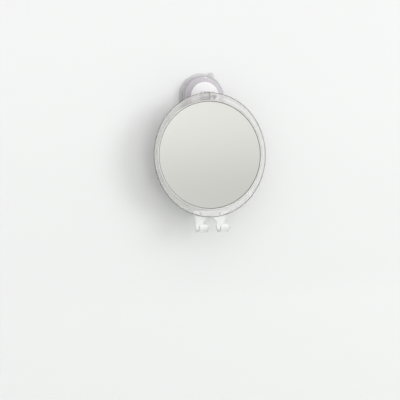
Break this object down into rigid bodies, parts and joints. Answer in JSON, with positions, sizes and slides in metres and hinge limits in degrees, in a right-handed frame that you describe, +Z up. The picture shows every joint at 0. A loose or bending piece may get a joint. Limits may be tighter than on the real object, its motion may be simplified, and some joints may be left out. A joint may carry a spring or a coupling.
{
  "type": "suction-mounted shower mirror",
  "caption": "Oval-framed tilting shower mirror on a twist-lock suction mount, with a forked razor hook below.",
  "frame": {"origin": "the point of the wall behind the suction cup's centre, on the cup's axis", "axes": "+Y into the wall along the cup's axis, +Z up the wall with the mirror hanging below the cup, the mirror faces -Y"},
  "size_m": [0.1376, 0.0487, 0.1884],
  "materials": {
    "suction_cup": "soft, clear, glossy",
    "mount_housing": "clear, slightly hazy",
    "lock_dial": "clear, slightly hazy",
    "dial_cover": "clear, glossy",
    "cup_post": "clear",
    "lift_pin": "ground",
    "hinge_arm": "clear, glossy",
    "arm_pin": "ground",
    "pivot_screw": "plain stainless",
    "pivot_nut": "plain stainless",
    "screw_washer": "plain stainless",
    "friction_washer": "matt",
    "front_ring": "clear, polished",
    "rear_shell": "clear, polished",
    "mirror_plate": "silvered",
    "mirror_seal": "matt",
    "razor_holder": "clear, polished"
  },
  "bodies": {
    "wall_mount": {"suction_cup": "suction_cup", "mount_housing": "mount_housing"},
    "dial": {"lock_dial": "lock_dial", "dial_cover": "dial_cover"},
    "puller": {"cup_post": "cup_post", "lift_pin": "lift_pin", "hinge_arm": "hinge_arm", "arm_pin": "arm_pin", "pivot_screw": "pivot_screw", "pivot_nut": "pivot_nut", "screw_washer": "screw_washer", "friction_washer": "friction_washer"},
    "mirror_head": {"front_ring": "front_ring", "rear_shell": "rear_shell", "mirror_plate": "mirror_plate", "mirror_seal": "mirror_seal", "razor_holder": "razor_holder"}
  },
  "joints": [
    {"name": "dial_twist", "type": "hinge", "parent": "wall_mount", "child": "dial", "pos_m": [0, 0, 0], "axis": [0, -1, 0], "range_deg": [0, 90]},
    {"name": "post_slide", "type": "slide", "parent": "wall_mount", "child": "puller", "axis": [0, 1, 0], "range_m": [0, 0.0025], "deforming": ["suction_cup"]},
    {"name": "head_tilt", "type": "hinge", "parent": "puller", "child": "mirror_head", "pos_m": [0, -0.0265, 0], "axis": [-1, 0, 0], "range_deg": [-8, 35]}
  ],
  "couplings": [
    {"joint": "dial_twist", "follows": "post_slide", "rad_per_m": 628.3}
  ]
}
